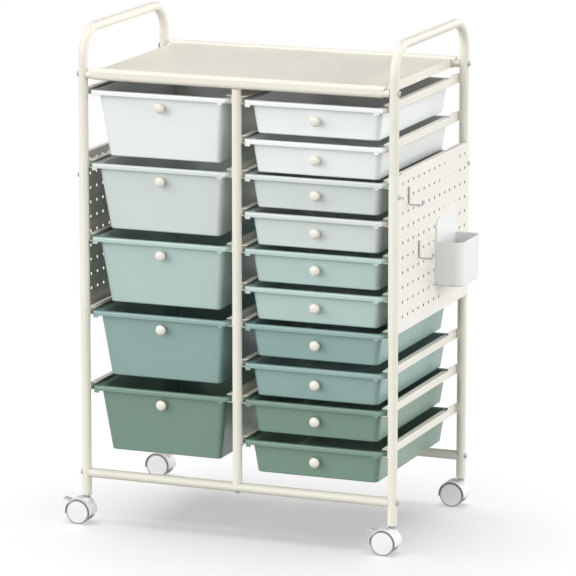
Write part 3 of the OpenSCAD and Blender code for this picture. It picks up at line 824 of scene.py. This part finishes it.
def drawer(h):
    s = Shell()
    R = []
    fi = 4.0                                  # fillet inside the bottom edge
    zb = -h + 2.2
    for k in range(7):
        a = math.pi / 2 * k / 6
        R.append(tub(2.0 + fi * (1 - math.sin(a)), zb + fi * (1 - math.cos(a))))
    R.append(tub(2.0, -h * 0.5))
    R.append(tub(2.0, -12.0))
    R.append(tub(2.0, -1.4))
    for k in range(1, 5):                     # rounded inner edge of the rim
        a = math.pi / 2 * k / 4
        R.append(tub(2.0 - 1.4 * (1 - math.cos(a)), -1.4 + 1.4 * math.sin(a)))
    f = 0.5
    R.append(ring(131.5, 187.0, 14.0, CY, 0.0))
    for k in range(6):                        # rounded outer edge
        a = math.pi / 2 * k / 5
        R.append(rim(f + 2.6 * (1 - math.sin(a)), -2.6 * (1 - math.cos(a))))
    R.append(rim(f, -5.9))
    R.append(rim(f + 0.25, -6.45))
    R.append(rim(f + 0.75, -6.7))
    R.append(rim(f + 1.2, -6.7))
    R.append(rim(f + 1.55, -6.45))
    R.append(rim(f + 1.7, -5.9))
    R.append(rim(f + 1.7, -2.8))
    R.append(rim(f + 2.2, -2.3))
    R.append(tub(-1.6, -2.3))
    R.append(tub(-0.5, -2.8))
    R.append(tub(0.0, -4.2))
    R.append(tub(0.0, -20.0))
    R.append(tub(0.0, -h * 0.5))
    fo = 3.0
    R.append(tub(0.0, -h + fo))
    for k in range(1, 7):
        a = math.pi / 2 * k / 6
        R.append(tub(fo * (1 - math.cos(a)), -h + fo * (1 - math.sin(a))))
    R.append(tub(13.0, -h))
    R.append(tub(14.2, -h + 0.8))
    s.add(loft(R))
    # crowned band along the front of the rim
    band = fillet([(FRONT + 0.15, -8.9), (FRONT + 2.6, -8.9), (FRONT + 2.6, -0.7), (FRONT + 0.75, -0.5), (FRONT, -2.6), (FRONT, -7.0)], [1.0, 0.5, 0.5, 0.9, 3.0, 3.0], 4)
    c = (FRONT + 1.4, -5.0)
    rings = []
    for x, k in ((-133.5, 0.55), (-133.2, 0.8), (-132.4, 1.0), (-88, 1.0), (-44, 1.0), (0, 1.0), (44, 1.0), (88, 1.0), (132.4, 1.0), (133.2, 0.8), (133.5, 0.55)):
        rings.append([(x, c[0] + (u - c[0]) * k, c[1] + (v - c[1]) * (1 - (1 - k) * 0.3)) for u, v in band])
    s.add(loft(rings))
    # stop tabs under the band, in front of the runners' ends
    for x in (-132.3, 121.7):
        out = [(x - 5.0, -12.8), (x + 5.0, -12.8), (x + 5.0, -7.0), (x - 5.0, -7.0)]
        s.add(prism(fillet(out, [1.0, 1.0, 0.3, 0.3], 3), FRONT + 0.3, FRONT + 2.25, XZ, 0.35, 2))
    for sx in (-1, 1):
        for y in (-120.0, -10.0, 100.0):      # side ribs, under the rim
            x0 = 129.0
            out = [(x0 - 3, -2.4), (x0 + 10.6, -2.4), (x0 + 10.2, -4.4), (x0 + 4.0, -6.2), (x0 - 0.4, -12.5), (x0 - 3, -12.5)]
            s.add(prism(fillet(out, [0, 0, 0.8, 1.2, 1.0, 0], 3), y - 0.9, y + 0.9, lambda u, v, hh, sx=sx: (sx * u, hh, v), 0.25, 2))
    return s


def knob(z):
    """Moulded knob on the sloping front, and its screw on the inside."""
    prof = [(0, 0.05), (5.4, 0.05), (5.4, 1.0), (4.5, 2.3), (4.4, 4.6), (5.6, 6.0), (8.2, 6.7), (9.5, 7.3), (9.98, 8.3), (9.9, 9.4)]
    prof = prof[:1] + fillet(prof[1:], [0.2] + [1.2] * (len(prof) - 3) + [0], 3, closed=False)
    for k in range(1, 13):
        a = math.pi / 2 * k / 12
        prof.append((9.9 * math.cos(a) ** 0.85 if k < 12 else 0.0, 9.4 + 5.2 * math.sin(a)))
    m = at(0, FRONT + 8 - z * SLOPE, z, 90 + 7.7, 0, 0)
    s = Shell().add(lathe(prof, 56), 0, m)
    s.add(pan_head(1.9, 4.0, 8), 1, m @ Matrix.Translation((0, 0, -2.12)) @ Matrix.Rotation(math.pi, 4, "X"))
    return s


LARGE, SMALL = drawer(126.5), drawer(63.0)
LARGE_KNOB, SMALL_KNOB = knob(-26.0), knob(-31.0)
for i in range(5):
    n = i + 1
    m = at(-155, 0, RIM_Z[2 * i])
    make(f"large_drawer_{n}_tub", Shell().merge(LARGE, m), [TINTS[i]], f"large_drawer_body_{n}", [f"large_drawer_{n}"])
    make(f"large_drawer_{n}_knob", Shell().merge(LARGE_KNOB, m), [KNOB, STEEL], f"large_drawer_body_{n}", [f"large_knob_{n}"], sharp=45)
for i in range(10):
    n = i + 1
    m = at(155, 0, RIM_Z[i])
    make(f"small_drawer_{n}_tub", Shell().merge(SMALL, m), [TINTS[i // 2]], f"small_drawer_body_{n}", [f"small_drawer_{n}"])
    make(f"small_drawer_{n}_knob", Shell().merge(SMALL_KNOB, m), [KNOB, STEEL], f"small_drawer_body_{n}", [f"small_knob_{n}"], sharp=45)

# ---------------------------------------------------------------- casters
AX, AZ, WR = -14.0, 23.5, 23.5
HO, HI, HY, WEB = 26.5, 25.3, 17.5, 6.0
LOW = 10.5                                # degrees that the cover reaches below the axle
TO_AXLE = at(AX, 0, AZ)


def cover(brake):
    """Half-round cover of even thickness; braked casters have an opening for the lever."""
    s = Shell()
    gap = (118, 166)
    # section of the full cover and of the two side strips, as rounded bars
    full = fillet([(-HY, HI), (HY, HI), (HY, HO), (-HY, HO)], [0.3, 0.3, 0.7, 0.7], 3)
    left = fillet([(-HY, HI), (-8.8, HI), (-8.8, HO), (-HY, HO)], [0.3, 0.3, 0.5, 0.7], 3)
    right = [(-a, b) for a, b in left][::-1]

    def strip(section, a0, a1):
        n = max(2, int((a1 - a0) / 5))
        rings = []
        for i in range(n + 1):
            a = math.radians(a0 + (a1 - a0) * i / n)
            rings.append([(AX + r * math.cos(a), y, AZ + r * math.sin(a)) for y, r in section])
        return loft(rings)

    if brake:
        s.add(strip(full, -LOW, gap[0]))
        s.add(strip(inset(left, 0.02), gap[0] - 1.0, gap[1] + 1.0))
        s.add(strip(inset(right, 0.02), gap[0] - 1.0, gap[1] + 1.0))
        s.add(strip(full, gap[1], 180.0 + LOW))
    else:
        s.add(strip(full, -LOW, 180.0 + LOW))
    # middle web: two side plates and, on braked casters, a slotted core
    half = [(AX + (HI + 0.4) * math.cos(math.radians(a)), AZ + (HI + 0.4) * math.sin(math.radians(a))) for a in range(-10, 191, 5)]
    if brake:
        s.add(prism(half, 2.35, WEB, XZ, 0.2, 1))
        s.add(prism(half, -WEB, -2.35, XZ, 0.2, 1))
        core = [(AX + (HI + 0.3) * math.cos(math.radians(a)), AZ + (HI + 0.3) * math.sin(math.radians(a))) for a in range(-10, 106, 5)]
        core = [p for p in core if p[0] > AX - 6.9] + [(AX - 6.9, AZ + 23.6), (AX - 6.9, AZ + 6.4), (AX - HI + 1.0, AZ + 6.4), (AX - HI + 0.2, AZ - 4.3)]
        s.add(prism(core, -2.4, 2.4, XZ, 0.0))
        s.add(lathe([(0, -5.4), (1.6, -5.4), (1.95, -5.1), (1.95, 5.1), (1.6, 5.4), (0, 5.4)], 20), 0, at(-27, 0, 36, 90, 0, 0))
    else:
        s.add(prism(half, -WEB, WEB, XZ, 0.2, 1))
    # hub, axle pin and swivel boss
    s.add(lathe_loop(fillet([(3.1, -WEB + 0.05), (7.0, -WEB + 0.05), (7.0, WEB - 0.05), (3.1, WEB - 0.05)], 0.5, 3), 36), 0, at(AX, 0, AZ, 90, 0, 0))
    s.add(lathe([(0, -15.3), (2.6, -15.3), (2.95, -14.9), (2.95, 14.9), (2.6, 15.3), (0, 15.3)], 28), 1, at(AX, 0, AZ, 90, 0, 0))
    boss = fillet([(4.15, 28.0), (8.0, 28.0), (8.0, 43.5), (8.0, 50.0), (4.15, 50.0)], [0.2, 0.2, 0, 1.4, 0.5], 4)
    s.add(lathe_loop(boss, 40))
    return s


def wheel(side):
    """One wheel; side -1 is towards the front. A dished face, a rounded tyre and a blind bore."""
    w = HY - WEB - 0.5
    prof = [(0, w - 1.4), (3.1, w - 1.4), (3.1, 0.2), (3.4, 0.0), (WR - 1.6, 0.0)]
    prof += arc(WR - 1.6, 1.6, 1.6, -90, 0, 5)[1:]
    prof += [(WR, 4.0), (WR, w - 2.0)]
    edge = arc(WR - 1.5, w - 1.9, 1.5, 0, 80, 6)[1:]
    face = [(WR - 2.6, w - 0.35), (WR - 2.9, w - 0.7), (WR - 3.4, w - 0.7), (WR - 3.8, w - 0.4), (14.0, w - 0.12), (8.6, w - 0.05), (8.2, w - 0.35), (7.7, w - 0.35), (7.3, w - 0.05), (5.0, w), (2.0, w), (0, w)]
    verts, faces = lathe(prof + edge + face, 64)
    s = Shell().add((verts, faces), 0)
    # faces on the tread and its outer edge take the grey tyre colour, part of which is painted shade for the gap under
    # the cover and the floor contact
    for k, q in enumerate(s.f):
        p = sum((s.v[i] for i in q), Vector()) / len(q)
        if math.hypot(p.x, p.y) > WR - 2.4:
            s.m[k] = 1
    m = TO_AXLE @ at(0, 0, 0, -90 * side, 0, 0) @ Matrix.Translation((0, 0, WEB + 0.5))
    return Shell().merge(s, m)


def lever():
    s = Shell()
    px, pz = -27.0, 36.0
    arm = [(px - 3.4, pz - 1.6), (px + 2.8, pz + 2.3), (px - 3.0, pz + 8.3), (px - 9, pz + 8.5), (px - 9, pz + 5)]
    s.add(prism(fillet(arm, [1.6, 1.6, 1.0, 0.8, 0.8], 4), -1.95, 1.95, XZ, 0.35, 2))
    s.add(lathe_loop(fillet([(2.1, -1.97), (3.95, -1.97), (3.95, 1.97), (2.1, 1.97)], 0.3, 2), 36), 0, at(px, 0, pz, 90, 0, 0))
    tab = [(px - 6, pz + 4.6), (-47.6, pz + 8), (-48.0, pz + 9.6), (-46.8, pz + 11), (px - 6, pz + 7.8)]
    s.add(prism(fillet(tab, [0.8, 0.9, 0.9, 1.2, 1.2], 4), -7.5, 7.5, XZ, 0.9, 3))
    for k in range(3):                        # grip ridges on the tab
        x = -45.6 + k * 3.2
        z = pz + 10.9 - 0.208 * (x + 46.8)
        s.add(prism(fillet([(x - 0.6, z - 0.6), (x + 0.6, z - 0.7), (x + 0.45, z + 0.35 * 0.4), (x - 0.45, z + 0.35 * 0.4)], 0.2, 2), -5.8, 5.8, XZ, 0.2, 1))
    return s


stems, sockets = Shell(), Shell()
for name, x, y in (("front_left", -1, -1), ("front_right", 1, -1), ("rear_left", -1, 1), ("rear_right", 1, 1)):
    m = at(x * HW, y * HD, 0)
    brake = y < 0
    make(name + "_caster_cover", Shell().merge(cover(brake), m), [NYLON, STEEL], name + "_caster", [name + "_caster_hood"], sharp=40)
    for tag, side in (("a", -1), ("b", 1)):
        make(f"{name}_caster_wheel_{tag}", Shell().merge(wheel(side), m), [NYLON, TYRE_GREY_AND_PAINTED_SHADE], f"{name}_wheel_body_{tag}", [f"{name}_wheel_{tag}"], sharp=50)
    if brake:
        make(name + "_foot_lever", Shell().merge(lever(), m), [LEVER], name + "_brake", [name + "_brake_lever"], sharp=40)
    stems.add(lathe([(0, 27.6), (3.4, 27.6), (3.95, 28.2), (3.95, 50.2), (6.1, 50.3), (6.5, 50.7), (6.5, 53.1), (6.1, 53.5), (3.98, 53.6), (3.98, 79.5), (3.5, 80.0), (0, 80.0)], 36), 0, m)
    sockets.add(lathe_loop(fillet([(4.05, 56.4), (9.0, 56.4), (9.0, 57.9), (7.7, 57.95), (7.7, 89.5), (4.05, 89.5)], [0.3, 0.7, 0.4, 0, 0.5, 0.3], 3), 40), 0, m)
make("stem_pins", stems, [STEEL], "cart_frame", ["caster_stems"], sharp=35)
make("leg_inserts", sockets, [NYLON], "cart_frame", ["caster_sockets"], sharp=35)

# ---------------------------------------------------------------- floor, light, camera
me = bpy.data.meshes.new("floor")
me.from_pydata([(-40, -40, 0), (40, -40, 0), (40, 40, 0), (-40, 40, 0)], [], [[0, 1, 2, 3]])
floor = bpy.data.objects.new("floor", me)
bpy.context.scene.collection.objects.link(floor)
n = Nodes("studio_floor")
me.materials.append(n.set(Base_Color=n.ramp(n.noise(2.0, 3.0), [(0.3, (0.90, 0.90, 0.90)), (0.7, (0.91, 0.91, 0.91))]), Roughness=0.6, Specular_IOR_Level=0.2, Emission_Color=(1.0, 1.0, 1.0, 1.0), Emission_Strength=0.43))
floor.visible_diffuse = floor.visible_shadow = False   # light from below is even

world = bpy.data.worlds.new("studio")
world.use_nodes = True
wt = world.node_tree
wc = wt.nodes.new("ShaderNodeTexCoord")
ws = wt.nodes.new("ShaderNodeSeparateXYZ")
wm = wt.nodes.new("ShaderNodeMapRange")
wm.interpolation_type = "SMOOTHSTEP"
wm.inputs["From Min"].default_value, wm.inputs["From Max"].default_value = -0.1, 0.1
wm.inputs["To Min"].default_value, wm.inputs["To Max"].default_value = WORLD_LOW, WORLD_HIGH
wt.links.new(wc.outputs["Generated"], ws.inputs["Vector"])
wt.links.new(ws.outputs["Z"], wm.inputs["Value"])
wt.links.new(wm.outputs["Result"], wt.nodes["Background"].inputs["Strength"])
wt.nodes["Background"].inputs["Color"].default_value = (1.0, 1.0, 1.0, 1.0)
bpy.context.scene.world = world


# The floor has a soft light of its own straight above it, so it stays white round one shadow
for_cart = bpy.data.collections.new("lit_cart")
for_cart.objects.link(floor)
for_cart.collection_objects[0].light_linking.link_state = "EXCLUDE"
for_floor = bpy.data.collections.new("lit_floor")
for_floor.objects.link(floor)
for_upper = bpy.data.collections.new("lit_upper")      # the drawers keep the top light off the low tubes
for i, o in enumerate((floor, bpy.data.objects["front_cross_tube"], bpy.data.objects["rear_cross_tube"])):
    for_upper.objects.link(o)
    for_upper.collection_objects[i].light_linking.link_state = "EXCLUDE"


def soft_sun(name, toward, strength, angle, lit=for_cart):
    """Even light from one side of the studio, with a wide soft source."""
    d = bpy.data.lights.new(name, "SUN")
    d.energy = strength
    d.angle = math.radians(angle)
    o = bpy.data.objects.new(name, d)
    o.rotation_mode = "QUATERNION"
    o.rotation_quaternion = Vector(toward).to_track_quat("-Z", "Y")
    o.location = -Vector(toward) * 3
    o.light_linking.receiver_collection = lit
    bpy.context.scene.collection.objects.link(o)


soft_sun("key_left", (0.68, 0.64, -0.35), 2.11, 50)
soft_sun("front", (0.0, 0.97, -0.20), 0.88, 50)
soft_sun("right", (-0.95, 0.10, -0.30), 1.88, 50)
soft_sun("right_back", (-0.55, -0.80, -0.25), 1.30, 50)
soft_sun("left_back", (0.70, -0.60, -0.40), 0.35, 50)
soft_sun("top_front", (0.0, 0.50, -0.87), 0.26, 50, for_upper)
soft_sun("top", (0.0, 0.0, -1.0), 0.88, 60, for_upper)
soft_sun("floor_top", (0.10, -0.10, -1.0), 1.75, 62, for_floor)

az, el, R = math.radians(21.63), math.radians(11.88), 8.045
fwd = Vector((-math.sin(az) * math.cos(el), math.cos(az) * math.cos(el), -math.sin(el)))
target = Vector((0.01466, 0.00885, 0.4448))
cd = bpy.data.cameras.new("camera")
cd.sensor_width = 36.0
cd.sensor_fit = "AUTO"
cd.lens = 264.0
cd.clip_start, cd.clip_end = 0.1, 200.0
cam = bpy.data.objects.new("camera", cd)
cam.location = target - fwd * R
cam.rotation_mode = "QUATERNION"
cam.rotation_quaternion = fwd.to_track_quat("-Z", "Y")
bpy.context.scene.collection.objects.link(cam)
bpy.context.scene.camera = cam
bpy.context.scene.view_settings.view_transform = "Standard"
bpy.context.scene.view_settings.look = "None"
